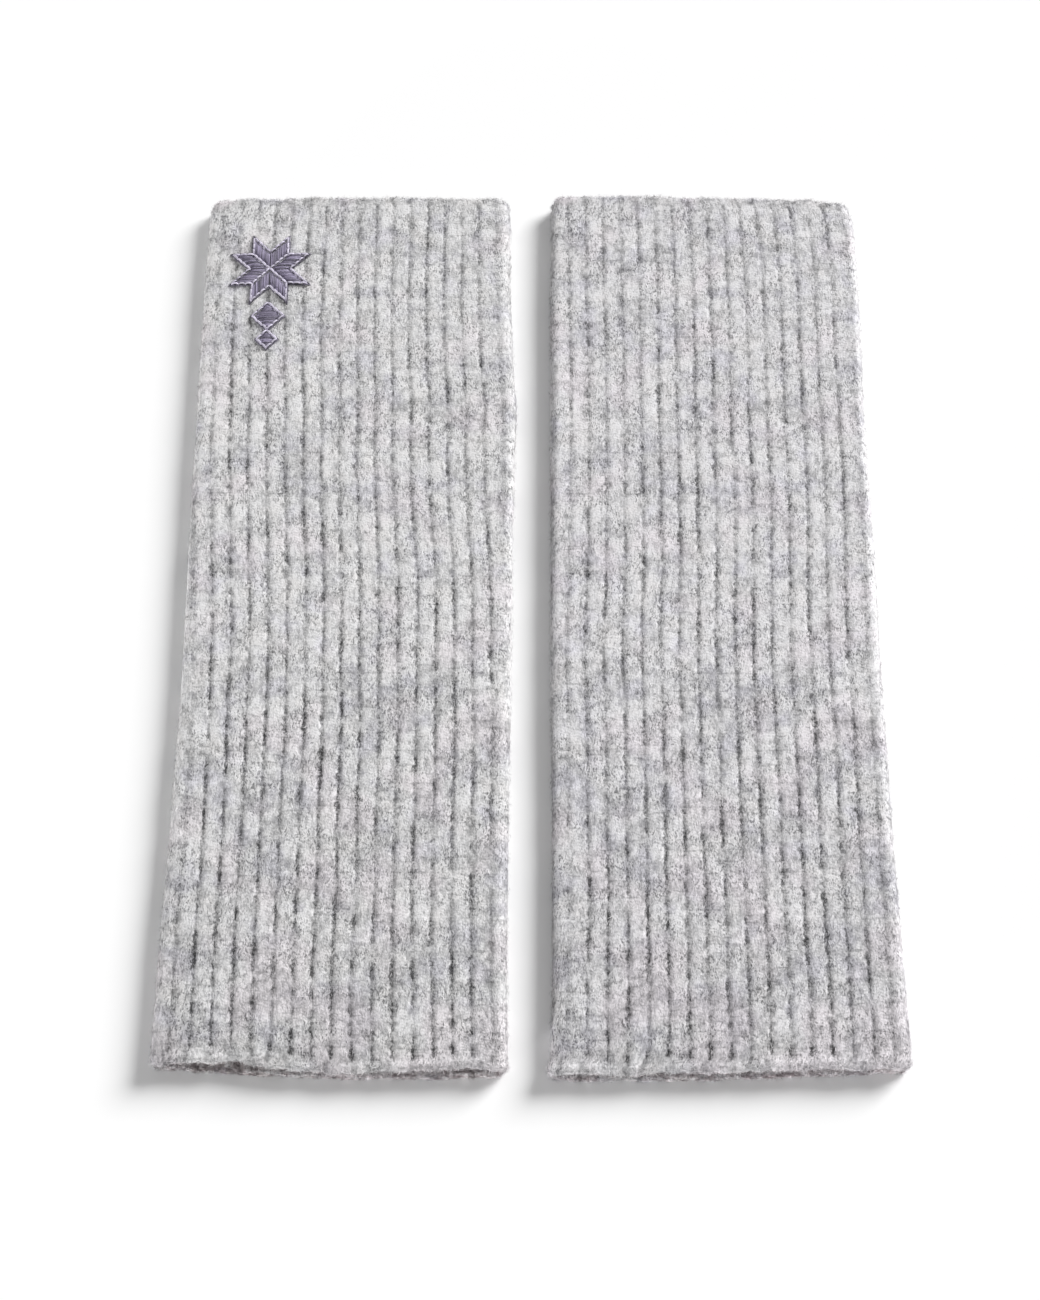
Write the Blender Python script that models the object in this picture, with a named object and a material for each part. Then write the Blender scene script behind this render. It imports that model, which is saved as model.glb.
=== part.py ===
"""A pair of fingerless rib-knit gloves (wrist warmers), laid flat side by side.

Each glove is one knitted tube with a rib all round and a bound-off edge at both
ends. It lies flattened, so its upper wall rests over its lower wall and a flat
slot runs between them from mouth to mouth. Metres, +Z up, +Y along the tubes
away from the viewer. The origin is at the bottom centre of the pair.
"""

import math
from collections import namedtuple

import bmesh
import bpy

# Driving sizes of one tube.
TUBE_LENGTH = 0.2700
WALL = 0.0025  # the fulled knit, measured at the crest of a rib
RIB_DEPTH = 0.0009  # how far a groove lies below the crests beside it
FOLD_GAP = 0.0006  # the slot's height where the cloth turns back at a side
RIBS_SHOWN = 20  # ribs over the upper face and both sides
UNDERSIDE_SPANS = 8  # plain spans across the underside, which rests flat
GROOVE_FADE = 0.4  # the share of a side's turn where grooves grow from the floor
SMOOTH_BELOW = math.radians(60)  # edges flatter than this are shaded smooth

# A rib's cross-section: where a point lies across it, and how deep in the groove.
RibPoint = namedtuple("RibPoint", "across depth")
RIB_PROFILE = (
    RibPoint(across=0.00, depth=1.00),
    RibPoint(across=0.18, depth=0.22),
    RibPoint(across=0.50, depth=0.00),
    RibPoint(across=0.82, depth=0.22),
)

# A bound-off end from its lip inwards: how far in, how much the wall thins on
# each face, and how much of the rib's depth shows.
EdgeRow = namedtuple("EdgeRow", "inward thinned ribs")
BOUND_EDGE = (
    EdgeRow(inward=0.0000, thinned=0.00070, ribs=0.0),
    EdgeRow(inward=0.0006, thinned=0.00015, ribs=0.1),
    EdgeRow(inward=0.0020, thinned=0.00000, ribs=0.2),
    EdgeRow(inward=0.0028, thinned=0.00040, ribs=0.7),
    EdgeRow(inward=0.0040, thinned=0.00000, ribs=1.0),
)

# How far the tube gapes along its length: the slot's extra height at its highest.
GapeRow = namedtuple("GapeRow", "along gape")
GAPE = (
    GapeRow(along=0.000, gape=0.0017),
    GapeRow(along=0.020, gape=0.0009),
    GapeRow(along=0.060, gape=0.0004),
    GapeRow(along=0.210, gape=0.0004),
    GapeRow(along=0.255, gape=0.0007),
    GapeRow(along=0.270, gape=0.0012),
)

# The sides of each glove as it lies, at places along it from its near edge.
SideRow = namedtuple("SideRow", "along left right")
LEFT_SIDES = (
    SideRow(along=0.000, left=-0.0974, right=-0.0060),
    SideRow(along=0.030, left=-0.0971, right=-0.0063),
    SideRow(along=0.070, left=-0.0963, right=-0.0060),
    SideRow(along=0.110, left=-0.0958, right=-0.0054),
    SideRow(along=0.150, left=-0.0963, right=-0.0051),
    SideRow(along=0.180, left=-0.0965, right=-0.0044),
    SideRow(along=0.195, left=-0.0965, right=-0.0039),
    SideRow(along=0.215, left=-0.0967, right=-0.0050),
    SideRow(along=0.240, left=-0.0968, right=-0.0058),
    SideRow(along=0.264, left=-0.0966, right=-0.0058),
    SideRow(along=0.270, left=-0.0952, right=-0.0062),
)
RIGHT_SIDES = (
    SideRow(along=0.000, left=0.0036, right=0.0968),
    SideRow(along=0.006, left=0.0048, right=0.0970),
    SideRow(along=0.030, left=0.0053, right=0.0966),
    SideRow(along=0.070, left=0.0055, right=0.0963),
    SideRow(along=0.110, left=0.0053, right=0.0963),
    SideRow(along=0.150, left=0.0055, right=0.0966),
    SideRow(along=0.190, left=0.0057, right=0.0965),
    SideRow(along=0.225, left=0.0058, right=0.0974),
    SideRow(along=0.255, left=0.0062, right=0.0975),
    SideRow(along=0.264, left=0.0063, right=0.0972),
    SideRow(along=0.270, left=0.0066, right=0.0948),
)

# A glove: its sides, how far its edges slant from left to right, and where
# across it gapes most, from -1 at the left side to 1 at the right.
Glove = namedtuple("Glove", "name sides near_slant far_slant gape_place")
GLOVES = (
    Glove("left_glove", LEFT_SIDES, -0.0008, -0.0008, -0.35),
    Glove("right_glove", RIGHT_SIDES, 0.0008, -0.0008, -0.15),
)

WOOL_COLOUR = (0.60, 0.60, 0.62, 1.0)
WOOL_ROUGHNESS = 0.95

Section = namedtuple("Section", "along left right gape thinned ribs")


def eased(share):
    """A share from 0 to 1 with a gentle start and end."""
    return share * share * (3 - 2 * share)


def between(rows, along, column):
    """A column of a table at a place along the tube, eased from row to row."""
    for low, high in zip(rows, rows[1:]):
        if along <= high.along:
            share = eased((along - low.along) / (high.along - low.along))
            start = getattr(low, column)
            return start + share * (getattr(high, column) - start)
    return getattr(rows[-1], column)


def sections_of(glove):
    """Every section of one glove, from its near lip to its far lip."""
    ribbed = BOUND_EDGE[-1]
    stops = [(row.inward, row) for row in BOUND_EDGE]
    stops += [(TUBE_LENGTH - row.inward, row) for row in BOUND_EDGE]
    for row in glove.sides:
        if ribbed.inward < row.along < TUBE_LENGTH - ribbed.inward:
            stops.append((row.along, ribbed))
    return [
        Section(
            along,
            between(glove.sides, along, "left"),
            between(glove.sides, along, "right"),
            between(GAPE, along, "gape"),
            edge.thinned,
            edge.ribs,
        )
        for along, edge in sorted(stops, key=lambda stop: stop[0])
    ]


def rise_over(glove, section):
    """How far a section's upper wall is lifted, at a place across the tube."""

    def rise(across):
        away = across - glove.gape_place
        reach = 1 - glove.gape_place if away > 0 else 1 + glove.gape_place
        return section.gape * (1 - (away / reach) ** 2)

    return rise


def on_ring(turn, left, right, low, side_height, rise):
    """A point on a flattened ring, and the direction that points out of it.

    turn runs 0 to 1 up the right side, 1 to 2 across the top, 2 to 3 down the
    left side and 3 to 4 back along the bottom. rise lifts the top.
    """
    radius = side_height / 2
    quarter, share = divmod(turn, 1)
    if quarter in (0, 2):
        angle = math.pi * (share - 0.5 + quarter / 2)
        centre = right - radius if quarter == 0 else left + radius
        out = (math.cos(angle), math.sin(angle))
        return (centre + radius * out[0], low + radius + radius * out[1]), out
    start, end = right - radius, left + radius
    if quarter == 1:
        across = 1 - 2 * share
        x = start + share * (end - start)
        return (x, low + side_height + rise(across)), (0.0, 1.0)
    return (end + share * (start - end), low), (0.0, -1.0)


def rib_turns():
    """Where each rib begins, as turns round the ring, equal in real width."""
    side = math.pi * (2 * WALL + FOLD_GAP) / 2
    width = LEFT_SIDES[0].right - LEFT_SIDES[0].left
    top = width - (2 * WALL + FOLD_GAP)
    pitch = (2 * side + top) / RIBS_SHOWN
    turns = []
    for rib in range(RIBS_SHOWN + 1):
        length = rib * pitch
        if length < side:
            turns.append(length / side)
        elif length < side + top:
            turns.append(1 + (length - side) / top)
        else:
            turns.append(min(2 + (length - side - top) / side, 3.0))
    return turns


def outer_turns():
    """Turns of the outer ring's points with their groove depth, grouped by rib
    over the top and sides and by span along the underside."""
    starts = rib_turns()
    groups = []
    for start, end in zip(starts, starts[1:]):
        group = []
        for point in RIB_PROFILE:
            turn = start + point.across * (end - start)
            # The grooves die away where the sides turn under to the floor.
            from_floor = min(turn, 3.0 - turn)
            grown = eased(min(from_floor / GROOVE_FADE, 1.0))
            group.append((turn, point.depth * grown))
        groups.append(group)
    for span in range(UNDERSIDE_SPANS):
        groups.append([(3.0 + span / UNDERSIDE_SPANS, 0.0)])
    return groups


def place(glove, section, x, z):
    """A section's point in the part's frame, with the glove's slanting edges."""
    middle = (section.left + section.right) / 2
    across = (x - middle) / (section.right - section.left) * 2
    share = section.along / TUBE_LENGTH
    slant = glove.near_slant * (1 - share) + glove.far_slant * share
    return (x, section.along - TUBE_LENGTH / 2 + slant * across, z)


def outer_ring(glove, section, groups):
    """The cloth's ribbed face at one section."""
    rise = rise_over(glove, section)
    height = 2 * WALL + FOLD_GAP
    ring = []
    for group in groups:
        for turn, depth in group:
            (x, z), out = on_ring(
                turn, section.left, section.right, 0.0, height, rise
            )
            inset = section.thinned + RIB_DEPTH * section.ribs * depth
            x, z = x - inset * out[0], z - inset * out[1]
            ring.append(place(glove, section, x, z))
    return ring


def inner_ring(glove, section, groups):
    """The cloth's plain inner face at one section, round the slot."""
    rise = rise_over(glove, section)
    wall = WALL - section.thinned
    height = FOLD_GAP + 2 * section.thinned
    left, right = section.left + wall, section.right - wall
    ring = []
    for group in groups:
        (x, z), _ = on_ring(group[0][0], left, right, wall, height, rise)
        ring.append(place(glove, section, x, z))
    return ring


def loft(bm, rings):
    """Quads between each ring of vertices and the next."""
    for ring, following in zip(rings, rings[1:]):
        for i, vertex in enumerate(ring):
            j = (i + 1) % len(ring)
            bm.faces.new((vertex, ring[j], following[j], following[i]))


def rim(bm, outer, inner, groups):
    """The bound-off lip: one flat face for each rib or span, outer to inner."""
    at = 0
    for i, group in enumerate(groups):
        run = [outer[(at + k) % len(outer)] for k in range(len(group) + 1)]
        at += len(group)
        bm.faces.new(run + [inner[(i + 1) % len(inner)], inner[i]])


def make_glove(glove, collection, wool):
    groups = outer_turns()
    sections = sections_of(glove)
    bm = bmesh.new()
    outer = []
    inner = []
    for section in sections:
        outer.append([bm.verts.new(p) for p in outer_ring(glove, section, groups)])
        inner.append([bm.verts.new(p) for p in inner_ring(glove, section, groups)])
    loft(bm, outer)
    loft(bm, inner)
    rim(bm, outer[0], inner[0], groups)
    rim(bm, outer[-1], inner[-1], groups)
    bmesh.ops.triangulate(bm, faces=bm.faces[:])
    bmesh.ops.recalc_face_normals(bm, faces=bm.faces[:])
    mesh = bpy.data.meshes.new(glove.name)
    bm.to_mesh(mesh)
    bm.free()
    mesh.shade_smooth()
    mesh.set_sharp_from_angle(angle=SMOOTH_BELOW)
    mesh.materials.append(wool)
    collection.objects.link(bpy.data.objects.new(glove.name, mesh))


def make_wool(name):
    wool = bpy.data.materials.new(name)
    wool.use_nodes = True
    shader = wool.node_tree.nodes["Principled BSDF"]
    shader.inputs["Base Color"].default_value = WOOL_COLOUR
    shader.inputs["Roughness"].default_value = WOOL_ROUGHNESS
    shader.inputs["Metallic"].default_value = 0.0
    wool.diffuse_color = WOOL_COLOUR
    return wool


def main():
    for old in list(bpy.data.objects):
        bpy.data.objects.remove(old)
    collection = bpy.data.collections.new("rib_knit_wrist_warmers")
    bpy.context.scene.collection.children.link(collection)
    for glove in GLOVES:
        make_glove(glove, collection, make_wool(glove.name + "_wool"))


main()
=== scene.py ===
"""The looks of a pair of fingerless rib-knit gloves, laid flat side by side.

Each glove's cloth is one thin shell that goes all round the tube and over both
bound-off edges into the slot. Loose fibres lie on it as narrow ribbons, and a
satin-stitched star is sewn on the left glove. Metres, in the part's own frame.
"""

import math
from collections import namedtuple

import bpy
import numpy as np
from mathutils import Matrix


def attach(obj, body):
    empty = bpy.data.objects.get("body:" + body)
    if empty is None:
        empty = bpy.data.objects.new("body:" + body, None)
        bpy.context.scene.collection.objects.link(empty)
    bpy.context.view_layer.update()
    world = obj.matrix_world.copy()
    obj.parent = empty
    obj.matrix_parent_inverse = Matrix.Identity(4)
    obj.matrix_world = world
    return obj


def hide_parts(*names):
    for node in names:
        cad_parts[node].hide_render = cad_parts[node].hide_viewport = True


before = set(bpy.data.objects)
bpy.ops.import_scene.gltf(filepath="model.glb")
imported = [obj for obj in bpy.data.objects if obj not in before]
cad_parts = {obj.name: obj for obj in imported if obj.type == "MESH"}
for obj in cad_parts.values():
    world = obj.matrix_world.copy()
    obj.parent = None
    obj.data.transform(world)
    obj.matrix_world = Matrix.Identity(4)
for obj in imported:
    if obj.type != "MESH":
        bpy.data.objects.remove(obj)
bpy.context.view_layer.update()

MM = 0.001

# One tube, as the part has it.
TUBE_LENGTH = 0.2700
WALL = 0.0025
RIB_DEPTH = 0.0009
FOLD_GAP = 0.0006
RIBS_SHOWN = 20
RIBS_UNDER = 17
RIBS_ROUND = RIBS_SHOWN + RIBS_UNDER
HALF_WALL = WALL / 2
FOLD_RADIUS = (2 * WALL + FOLD_GAP) / 2

GapeRow = namedtuple("GapeRow", "along gape")
GAPE = (
    GapeRow(0.000, 0.0017),
    GapeRow(0.020, 0.0009),
    GapeRow(0.060, 0.0004),
    GapeRow(0.210, 0.0004),
    GapeRow(0.255, 0.0007),
    GapeRow(0.270, 0.0012),
)

SideRow = namedtuple("SideRow", "along left right")
LEFT_SIDES = (
    SideRow(0.000, -0.0974, -0.0060),
    SideRow(0.030, -0.0971, -0.0063),
    SideRow(0.070, -0.0963, -0.0060),
    SideRow(0.110, -0.0958, -0.0054),
    SideRow(0.150, -0.0963, -0.0051),
    SideRow(0.180, -0.0965, -0.0044),
    SideRow(0.195, -0.0965, -0.0039),
    SideRow(0.215, -0.0967, -0.0050),
    SideRow(0.240, -0.0968, -0.0058),
    SideRow(0.264, -0.0966, -0.0058),
    SideRow(0.270, -0.0962, -0.0062),
)
RIGHT_SIDES = (
    SideRow(0.000, 0.0036, 0.0968),
    SideRow(0.006, 0.0048, 0.0970),
    SideRow(0.030, 0.0053, 0.0966),
    SideRow(0.070, 0.0055, 0.0963),
    SideRow(0.110, 0.0053, 0.0963),
    SideRow(0.150, 0.0055, 0.0966),
    SideRow(0.190, 0.0057, 0.0965),
    SideRow(0.225, 0.0058, 0.0974),
    SideRow(0.255, 0.0062, 0.0975),
    SideRow(0.264, 0.0063, 0.0972),
    SideRow(0.270, 0.0066, 0.0960),
)

# Each near edge, at places across it from -1 at the left side to 1: how open its
# mouth is, and how far back the edge lies from a straight line.
MouthRow = namedtuple("MouthRow", "across open back")
LEFT_MOUTH = (
    MouthRow(-1.00, 0.00, 0.0022),
    MouthRow(-0.93, 0.22, 0.0019),
    MouthRow(-0.85, 0.37, 0.0016),
    MouthRow(-0.76, 0.40, 0.0014),
    MouthRow(-0.67, 0.36, 0.0012),
    MouthRow(-0.56, 0.56, 0.0010),
    MouthRow(-0.45, 0.34, 0.0008),
    MouthRow(-0.32, 0.20, 0.0004),
    MouthRow(-0.15, 0.10, 0.0001),
    MouthRow(0.10, 0.00, -0.0001),
    MouthRow(0.60, 0.10, -0.0002),
    MouthRow(0.80, 0.24, 0.0000),
    MouthRow(0.92, 0.12, 0.0003),
    MouthRow(1.00, 0.00, 0.0004),
)
RIGHT_MOUTH = (
    MouthRow(-1.00, 0.00, -0.0004),
    MouthRow(-0.80, 0.10, -0.0008),
    MouthRow(-0.60, 0.03, -0.0009),
    MouthRow(-0.35, 0.12, -0.0006),
    MouthRow(-0.10, 0.10, -0.0005),
    MouthRow(0.15, 0.22, -0.0004),
    MouthRow(0.45, 0.12, 0.0001),
    MouthRow(0.70, 0.06, 0.0003),
    MouthRow(0.86, 0.03, 0.0010),
    MouthRow(1.00, 0.00, 0.0012),
)

# How far the ribs have crept round each tube as it lies, towards the right.
SwayRow = namedtuple("SwayRow", "along sway")
LEFT_SWAY = (
    SwayRow(0.000, 0.0056),
    SwayRow(0.075, 0.0047),
    SwayRow(0.125, 0.0036),
    SwayRow(0.195, 0.0002),
    SwayRow(0.235, -0.0002),
    SwayRow(0.270, 0.0001),
)
RIGHT_SWAY = (
    SwayRow(0.000, -0.0004),
    SwayRow(0.115, 0.0001),
    SwayRow(0.180, 0.0016),
    SwayRow(0.270, 0.0010),
)

# Each glove is of its own batch of heather, all but the same grey.
LEFT_WOOL = (0.6290, 0.6255, 0.6305)
RIGHT_WOOL = (0.6370, 0.6310, 0.6425)

# A glove as it lies: far_slant is how much further off its far edge is at the right
# side than in the middle, and gape_place is where across it gapes most.
Glove = namedtuple(
    "Glove", "node slot sides far_slant gape_place mouth sway wool grooves seed"
)
LEFT = Glove(
    node="left_glove", slot="left_wool", sides=LEFT_SIDES, far_slant=0.0004,
    gape_place=-0.35, mouth=LEFT_MOUTH, sway=LEFT_SWAY, wool=LEFT_WOOL,
    grooves=0.97, seed=100,
)
RIGHT = Glove(
    node="right_glove", slot="right_wool", sides=RIGHT_SIDES, far_slant=-0.0008,
    gape_place=-0.15, mouth=RIGHT_MOUTH, sway=RIGHT_SWAY, wool=RIGHT_WOOL,
    grooves=0.88, seed=200,
)

# The cloth's grid: places across a rib, closer beside the groove at 0.
RIB_PLACES = (0.0, 0.07, 0.15, 0.27, 0.42, 0.58, 0.73, 0.85, 0.93)
UNDER_PLACES = (0.0, 0.12, 0.5, 0.88)
OUTER_ROWS = 330
INNER_ROWS = 30
LIP_STEPS = 8

# Smooth noise comes from square tables of seeded values. A layer of it has its own
# seed, so many values to a rib (or to half the tube's width), so far from one value
# to the next along the tube (or round a lip, in radians), a reach and a shift.
LATTICE = 64
Layer = namedtuple("Layer", "seed across along reach shift", defaults=(0.0,))
SLOW_CREEP = Layer(1, 0.30, 0.024, 0.38 * MM)
QUICK_CREEP = Layer(2, 1.10, 0.0055, 0.15 * MM)
GROOVES = (
    Layer(3, 1.37, 0.016, 0.20),
    Layer(4, 2.61, 0.0046, 0.42),
    Layer(5, 3.17, 0.0017, 0.50),
)
BAND_LINE = Layer(6, 0.9, 0.1, 0.9 * MM)
LUMPS = Layer(7, 1.7, 0.0042, 0.10 * MM, 0.3)
KNOTS = Layer(8, 2.3, 0.0019, 0.06 * MM)
BOBBLES = Layer(9, 2.1, 0.0016, 1.0)
WAVES = Layer(10, 2.1, 0.034, 0.30 * MM)
FLUTTER = Layer(11, 7.3, 0.2, 0.25 * MM, 0.4)
LIP_LINE = Layer(12, 3.1, 1 / 1.9, 0.36 * MM)
SLOW_STRAY = Layer(13, 0.55, 1 / 3.0, 0.30 * MM)
QUICK_STRAY = Layer(14, 1.9, 1 / 5.0, 0.20 * MM)
LIP_TUFTS = Layer(15, 8.1, 1 / 4.1, 0.9)
SPECKS = Layer(16, 6.3, 1 / 2.6, 1.0)


def eased(share):
    """A share from 0 to 1 with a gentle start and end."""
    return share * share * (3 - 2 * share)


def step(value, low, high):
    """0 below low and 1 above high, eased between them."""
    return eased(np.clip((value - low) / (high - low), 0.0, 1.0))


def field(seed, u, v):
    """Smooth noise from -1 to 1 with one value at each whole u and v."""
    u, v = np.broadcast_arrays(np.asarray(u, float), np.asarray(v, float))
    values = np.random.default_rng(seed).uniform(-1.0, 1.0, (LATTICE, LATTICE))
    i, j = np.floor(u).astype(int), np.floor(v).astype(int)
    a, b = eased(u - i), eased(v - j)
    i, j, i_next, j_next = i % LATTICE, j % LATTICE, (i + 1) % LATTICE, (j + 1) % LATTICE
    near = values[i, j] * (1 - a) + values[i_next, j] * a
    far = values[i, j_next] * (1 - a) + values[i_next, j_next] * a
    return near * (1 - b) + far * b


def noise_on(glove, layer, u, v):
    """One layer of a glove's noise, from -reach to reach."""
    u = u * layer.across + layer.shift
    return layer.reach * field(glove.seed + layer.seed, u, v / layer.along)


def between(rows, where, column):
    """A column of a table, eased from row to row, at places in its first column."""
    stops = np.array([row[0] for row in rows])
    values = np.array([getattr(row, column) for row in rows])
    at = np.clip(np.searchsorted(stops, where, side="right") - 1, 0, len(rows) - 2)
    share = (where - stops[at]) / (stops[at + 1] - stops[at])
    return values[at] + eased(np.clip(share, 0.0, 1.0)) * (values[at + 1] - values[at])


# The lengths round the tube's outside: a side's half circle, and the flat top.
SIDE_RUN = math.pi * FOLD_RADIUS
TOP_RUN = LEFT_SIDES[0].right - LEFT_SIDES[0].left - 2 * FOLD_RADIUS
PITCH = (2 * SIDE_RUN + TOP_RUN) / RIBS_SHOWN
RUNS = np.cumsum([0.0, SIDE_RUN, TOP_RUN, SIDE_RUN, TOP_RUN])


def turns_at(rib, shift):
    """Turns round the ring (0 to 4, as in the part) at a rib coordinate."""
    length = np.interp(rib, [0, RIBS_SHOWN, RIBS_ROUND], [0, RUNS[3], RUNS[4]])
    return np.interp((length + shift) % RUNS[4], RUNS, [0, 1, 2, 3, 4])


SEAM_REACH = 1.5  # so many ribs from where the grid closes, they stray freely


def wander(glove, rib, along):
    """How far the ribs stray sideways along the tube, round to the left."""
    strayed = noise_on(glove, SLOW_CREEP, rib, along)
    strayed = strayed + noise_on(glove, QUICK_CREEP, rib, along)
    from_seam = np.minimum(rib, RIBS_ROUND - rib)
    strayed = strayed * step(from_seam, 0.0, SEAM_REACH)
    return strayed - between(glove.sway, along, "sway")


def rib_at(glove, place, along):
    """The rib coordinate of a place, counted in ribs from the right side's floor."""
    return (place + between(glove.sway, along, "sway") / PITCH) % RIBS_ROUND


def place_of(glove, rib, along):
    """The other way about: how many ribs a place is from the right side's floor."""
    return (rib - between(glove.sway, along, "sway") / PITCH) % RIBS_ROUND


SIDE_PLACE = 1.0  # ribs from the floor to a side's outermost line
STRETCH_FADE = (1.5, 0.7)  # the stretch grows between these distances from it, in ribs


def stretched(glove, rib, along):
    """1 where the cloth turns round a side, which pulls its grooves flat, or 0."""
    place = place_of(glove, rib, along)
    to_right = np.abs(place - SIDE_PLACE)
    to_left = np.abs(place - (RIBS_SHOWN - SIDE_PLACE))
    return step(np.minimum(to_right, to_left), *STRETCH_FADE)


def is_lower(glove, rib, along):
    """Whether a place is on the tube's lower wall."""
    return place_of(glove, rib, along) > RIBS_SHOWN


def is_far(along):
    """Whether a place is in the tube's far half."""
    return along > TUBE_LENGTH / 2


def end_distance(along):
    """How far a place is from the nearer bound-off end."""
    return np.minimum(along, TUBE_LENGTH - along)


NEAR_BAND = 0.0027  # the bound-off edges' widths
FAR_BAND = 0.0021
BAND_FADE = (0.9 * MM, -0.6 * MM)  # a band grows between these places past its line


def band_edge(glove, rib, along):
    """How far a place is from the ragged line where the bound-off band ends."""
    width = np.where(is_far(along), FAR_BAND, NEAR_BAND)
    return end_distance(along) - width + noise_on(glove, BAND_LINE, rib, along)


def on_band(glove, rib, along):
    """1 on the bound-off bands, falling to 0 past their ragged lines."""
    return step(band_edge(glove, rib, along), *BAND_FADE)


GROOVE_MEAN = 0.64
GROOVE_LIMITS = (0.08, 1.50)
GROOVE_AT_NEAR = 1.20  # the grooves are stronger at the near end
GROOVE_FALL = 0.50  # and lose so much by the far one
START_PLACE = 1.6  # they start deeper so many millimetres past a band's line
NEAR_START = 0.40
FAR_START = 0.05
SIDE_LOSS = 0.75  # the share that the stretched sides lose


def groove_strength(glove, rib, along):
    """How deep the nearest groove is, from nearly closed to fully open."""
    groove = np.round(rib)
    layers = (noise_on(glove, layer, groove, along) for layer in GROOVES)
    strength = sum(layers, GROOVE_MEAN)
    start = np.exp(-((band_edge(glove, groove, along) / MM - START_PLACE) ** 2))
    start = start * np.where(is_far(along), FAR_START, NEAR_START)
    # The grooves are deeper, and their painted shade darker, towards the near end.
    by_length = glove.grooves * (GROOVE_AT_NEAR - GROOVE_FALL * along / TUBE_LENGTH)
    whole = np.clip(by_length * strength + start, *GROOVE_LIMITS)
    return whole * (1 - SIDE_LOSS * stretched(glove, groove, along))


RIBS_ON_BAND = 0.15
RIB_START = (-0.3 * MM, 1.1 * MM)  # ribs grow between these places past a band's line


def ribbed(glove, rib, along):
    """1 where ribs stand, falling to a trace of them on the bound-off bands."""
    grown = step(band_edge(glove, rib, along), *RIB_START)
    return RIBS_ON_BAND + (1 - RIBS_ON_BAND) * grown


# The relief over a rib's width. Widths are in ribs, and dips are in metres.
GROOVE_WIDTH = 0.13
GROOVE_SHARE = 0.40  # of RIB_DEPTH, for an open groove
CROWN_SHARE = 0.08  # and for the roundness of a rib
WALE_DIP = 0.07 * MM  # the faint line along a rib's middle
WALE_WIDTH = 0.09
LUMP_RISE = (0.08, 0.35)  # lumps swell up between these places beside a groove
BAND_DIP = 0.16 * MM  # the line past a band
BAND_DIP_PLACE = 0.3 * MM
BAND_DIP_WIDTH = 0.6 * MM
# How far a band swells, in millimetres: all over, and where its bobbles are.
BAND_SWELL = 0.04
NEAR_BOBBLE = 0.32
FAR_BOBBLE = 0.16
SIDE_SWELL_LOSS = 0.7


def relief(glove, rib, along):
    """How far the outer face lies below the crests of the ribs."""
    away = np.abs(rib - np.round(rib))
    groove = groove_strength(glove, rib, along) * np.exp(-((away / GROOVE_WIDTH) ** 2))
    crown = (1 - 2 * away) ** 2
    wale = WALE_DIP * np.exp(-(((away - 0.5) / WALE_WIDTH) ** 2))
    ribs = RIB_DEPTH * (GROOVE_SHARE * groove + CROWN_SHARE * crown) + wale
    lumps = noise_on(glove, LUMPS, np.floor(rib), along) * step(away, *LUMP_RISE)
    swell = lumps + noise_on(glove, KNOTS, rib, along)
    past = (band_edge(glove, rib, along) - BAND_DIP_PLACE) / BAND_DIP_WIDTH
    dip = BAND_DIP * np.exp(-(past ** 2))
    band = on_band(glove, rib, along)
    band = band * (1 - SIDE_SWELL_LOSS * stretched(glove, rib, along))
    bobble = np.where(is_far(along), FAR_BOBBLE, NEAR_BOBBLE)
    puff = band * (BAND_SWELL + bobble * noise_on(glove, BOBBLES, rib, along)) * MM
    return ribbed(glove, rib, along) * ribs + dip - swell - puff


MOUTH_LIFT = 0.0018  # how far the upper wall rises where the mouth is wide open
MOUTH_SAG = 0.0004  # and how far it sinks into the slot where the mouth is shut
LIP_BACK = 0.0006  # how far its lip lies back from the lower wall's all along
LIP_BACK_TO = 0.88  # of the way to a side, before it meets the lower one there
MOUTH_BACK = 0.0029  # and how much further back where the mouth is wide open
MOUTH_REACH = 0.014
FLUTTER_REACH = 0.009  # how far from an end the upper wall's height is uneven
STRAY_REACH = 0.008  # and its line
# The ends' corners are rounded in the plane of the floor.
NEAR_LEFT_CORNER = 0.0017
NEAR_RIGHT_CORNER = 0.0021
FAR_CORNER = 0.0018
CORNER_LIMIT = 0.98  # of a corner's radius, short of where its curve is upright


def lift_of(glove, across, along):
    """How far the upper wall is raised at a place across the tube."""
    away = across - glove.gape_place
    reach = np.where(away > 0, 1 - glove.gape_place, 1 + glove.gape_place)
    lens = 1 - (away / reach) ** 2
    flutter = noise_on(glove, FLUTTER, across, along)
    flutter = flutter * step(end_distance(along), FLUTTER_REACH, 0.0)
    lying = (between(GAPE, along, "gape") + noise_on(glove, WAVES, across, along)) * lens
    mouth = MOUTH_LIFT * between(glove.mouth, across, "open") - MOUTH_SAG * lens
    return lying + (mouth - lying) * step(along, MOUTH_REACH, 0.0) + flutter * lens


def ring(glove, rib, along):
    """The middle of the wall: x, z, the outward direction and place across."""
    turn = turns_at(rib, wander(glove, rib, along))
    left = between(glove.sides, along, "left") + FOLD_RADIUS
    right = between(glove.sides, along, "right") - FOLD_RADIUS
    radius = FOLD_RADIUS - HALF_WALL
    on_right, on_top, on_left = turn < 1, (turn >= 1) & (turn < 2), (turn >= 2) & (turn < 3)
    angle = math.pi * (np.where(on_right, turn, turn - 1) - 0.5)
    curved = on_right | on_left
    out_x = np.where(curved, np.cos(angle), 0.0)
    out_z = np.where(curved, np.sin(angle), np.where(on_top, 1.0, -1.0))
    share = np.where(on_top, turn - 1, 4 - turn)
    flat_x = right + share * (left - right)
    x = np.where(on_right, right, np.where(on_left, left, flat_x)) + radius * out_x
    across = np.clip(1 - 2 * share, -1, 1) * np.where(curved, 0, 1)
    across = across + np.where(on_right, 1, 0) - np.where(on_left, 1, 0)
    lift = np.where(on_top, lift_of(glove, across, along), 0.0)
    return x, FOLD_RADIUS + radius * out_z + lift, out_x, out_z, across


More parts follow.
